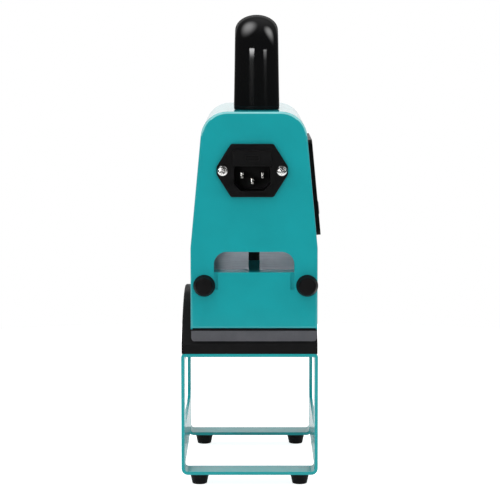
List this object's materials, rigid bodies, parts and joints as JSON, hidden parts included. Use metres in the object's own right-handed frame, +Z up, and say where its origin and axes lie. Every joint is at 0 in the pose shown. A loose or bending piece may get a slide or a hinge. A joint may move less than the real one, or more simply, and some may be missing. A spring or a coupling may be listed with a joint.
{
  "type": "portable cap heat press on a stand",
  "caption": "Portable cap heat press: a teal steel head with a bridge handle and curved platen, resting on an arched silicone pad over a folded steel stand.",
  "frame": {"origin": "on the floor, under the middle of the stand", "axes": "+X towards the control panel, +Y from the inlet end to the plain end, +Z up"},
  "size_m": [0.0962, 0.174, 0.3218],
  "materials": {
    "teal_coat": "fine satin powder coat",
    "silicone": "matt moulded silicone",
    "black_rubber": "matt moulded rubber",
    "zinc_steel": "zinc plated",
    "brass": "turned",
    "brushed_bracket": "brushed",
    "coated_platen": "dark non-stick coat",
    "gasket": "matt",
    "heater_foil": "matt silicone heater",
    "fibre_blanket": "ceramic fibre",
    "sensor_can": "drawn",
    "white_lead": "silicone sheath",
    "glass_sleeve": "braided glass fibre",
    "gloss_black": "gloss moulded",
    "black_plastic": "fine moulded texture",
    "nickel_pin": "nickel plated",
    "smoked_window": "smoked, polished",
    "green_board": "solder mask",
    "transformer_core": "varnished laminations",
    "terminal_plastic": "moulded",
    "fuse_glass": "clear",
    "grey_key": "soft touch"
  },
  "bodies": {
    "stand": {"stand_frame": "teal_coat", "stand_feet": "black_rubber", "foot_screws": "zinc_steel", "silicone_pad": "silicone", "pad_inserts": "brass", "pad_screws": "zinc_steel"},
    "press_head": {"casing_wrapper": "teal_coat", "inlet_end_panel": "teal_coat", "plain_end_panel": "teal_coat", "casing_floor": "teal_coat", "heater_housing": "teal_coat", "spacer_brackets": "brushed_bracket", "bracket_screws": "zinc_steel", "bracket_nuts": "zinc_steel", "heating_platen": "coated_platen", "platen_gasket": "gasket", "heating_element": "heater_foil", "element_clamp": "brushed_bracket", "insulation_blanket": "fibre_blanket", "platen_studs": "zinc_steel", "platen_nuts": "zinc_steel", "temperature_sensor": "sensor_can", "thermal_cutout": "sensor_can", "heater_leads": "white_lead", "lead_sleeve": "glass_sleeve", "handle": "gloss_black", "handle_pads": "black_rubber", "handle_screws": "zinc_steel", "handle_washers": "zinc_steel", "inlet_body": "black_plastic", "inlet_pins": "nickel_pin", "inlet_screws": "zinc_steel", "inlet_nuts": "zinc_steel", "control_bezel": "black_plastic", "display_window": "smoked_window", "display_module": "black_plastic", "control_board": "green_board", "board_posts": "brass", "board_screws": "zinc_steel", "key_switches": "black_plastic", "control_lead": "white_lead", "power_board": "green_board", "power_board_posts": "brass", "power_board_screws": "zinc_steel", "transformer": "transformer_core", "relay": "black_plastic", "buzzer": "black_plastic", "terminal_block": "terminal_plastic", "mains_leads": "white_lead", "end_bumpers": "black_rubber", "bumper_studs": "zinc_steel", "bumper_nuts": "zinc_steel"},
    "fuse_carrier": {"fuse_drawer": "black_plastic", "fuse": "fuse_glass"},
    "power_key_body": {"power_key": "grey_key"},
    "mode_key_body": {"mode_key": "grey_key"},
    "down_key_body": {"down_key": "grey_key"},
    "up_key_body": {"up_key": "grey_key"}
  },
  "joints": [
    {"name": "head_lift", "type": "slide", "parent": "stand", "child": "press_head", "axis": [0, 0, 1], "range_m": [0, 0.12]},
    {"name": "fuse_drawer_slide", "type": "slide", "parent": "press_head", "child": "fuse_carrier", "axis": [0, -1, 0], "range_m": [0, 0.018]},
    {"name": "power_key_press", "type": "slide", "parent": "press_head", "child": "power_key_body", "axis": [-0.9956, 0, -0.0941], "range_m": [0, 0.0008], "stiffness_N_per_m": 1500},
    {"name": "mode_key_press", "type": "slide", "parent": "press_head", "child": "mode_key_body", "axis": [-0.9956, 0, -0.0941], "range_m": [0, 0.0008], "stiffness_N_per_m": 1500},
    {"name": "down_key_press", "type": "slide", "parent": "press_head", "child": "down_key_body", "axis": [-0.9956, 0, -0.0941], "range_m": [0, 0.0008], "stiffness_N_per_m": 1500},
    {"name": "up_key_press", "type": "slide", "parent": "press_head", "child": "up_key_body", "axis": [-0.9956, 0, -0.0941], "range_m": [0, 0.0008], "stiffness_N_per_m": 1500}
  ]
}
